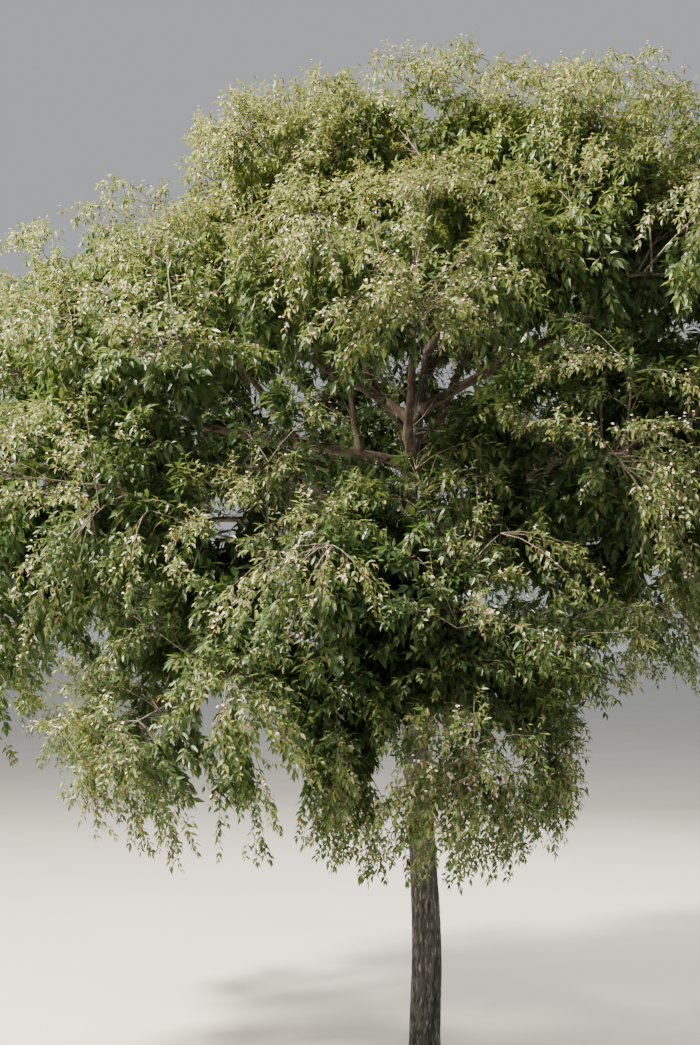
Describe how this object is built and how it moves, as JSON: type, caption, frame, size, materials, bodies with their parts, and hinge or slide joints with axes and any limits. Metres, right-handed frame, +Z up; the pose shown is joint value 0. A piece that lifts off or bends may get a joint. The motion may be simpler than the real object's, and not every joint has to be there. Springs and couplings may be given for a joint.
{
  "type": "rose myrtle small tree",
  "caption": "Small single-trunk rose myrtle tree with arching boughs and a broad dome of drooping, fine-leaved foliage dusted with pale blossom, rooted in the ground.",
  "frame": {"origin": "middle of the flat cut under the trunk, at ground level", "axes": "+Z up the trunk, +X to the right and +Y away as seen in the picture"},
  "size_m": [6.7581, 6.1207, 6.5757],
  "materials": {
    "bark": "grey-brown, finely fissured bark",
    "limb_bark": "smoother brown bark of the boughs",
    "foliage": "olive to yellow-green glossy leaves",
    "twig": "thin grey-brown to reddish twigs",
    "blossom": "pinkish white small flowers"
  },
  "bodies": {
    "root": {"trunk": "bark", "bough_front": "limb_bark", "bough_front_left": "limb_bark", "bough_left_front": "limb_bark", "bough_right_front": "limb_bark", "bough_right": "limb_bark", "bough_back_right": "limb_bark", "bough_back": "limb_bark", "bough_back_left": "limb_bark", "bough_left": "limb_bark", "bough_upper_left": "limb_bark", "bough_upper_back_right": "limb_bark", "bough_upper_back_left": "limb_bark", "bough_upper_front": "limb_bark", "bough_upper_right": "limb_bark", "bough_top_far_right": "limb_bark", "bough_top_right": "limb_bark", "bough_top_back": "limb_bark", "bough_skirt_front": "limb_bark", "bough_skirt_front_left": "limb_bark", "bough_skirt_left": "limb_bark", "bough_skirt_right_front": "limb_bark", "bough_skirt_right": "limb_bark", "bough_skirt_back_right": "limb_bark", "bough_skirt_back": "limb_bark", "bough_skirt_back_left": "limb_bark", "bough_upper_left_front": "limb_bark", "bough_shoulder": "limb_bark", "bough_upper_right_front": "limb_bark", "foliage_front": "foliage", "foliage_front_left": "foliage", "foliage_left_front": "foliage", "foliage_right_front": "foliage", "foliage_right": "foliage", "foliage_back_right": "foliage", "foliage_back": "foliage", "foliage_back_left": "foliage", "foliage_left": "foliage", "foliage_upper_left": "foliage", "foliage_upper_back_right": "foliage", "foliage_upper_back_left": "foliage", "foliage_upper_front": "foliage", "foliage_upper_right": "foliage", "foliage_top_far_right": "foliage", "foliage_top_right": "foliage", "foliage_top_back": "foliage", "foliage_skirt_front": "foliage", "foliage_skirt_front_left": "foliage", "foliage_skirt_left": "foliage", "foliage_skirt_right_front": "foliage", "foliage_skirt_right": "foliage", "foliage_skirt_back_right": "foliage", "foliage_skirt_back": "foliage", "foliage_skirt_back_left": "foliage", "foliage_upper_left_front": "foliage", "foliage_shoulder": "foliage", "foliage_upper_right_front": "foliage", "foliage_top": "foliage"}
  },
  "joints": []
}
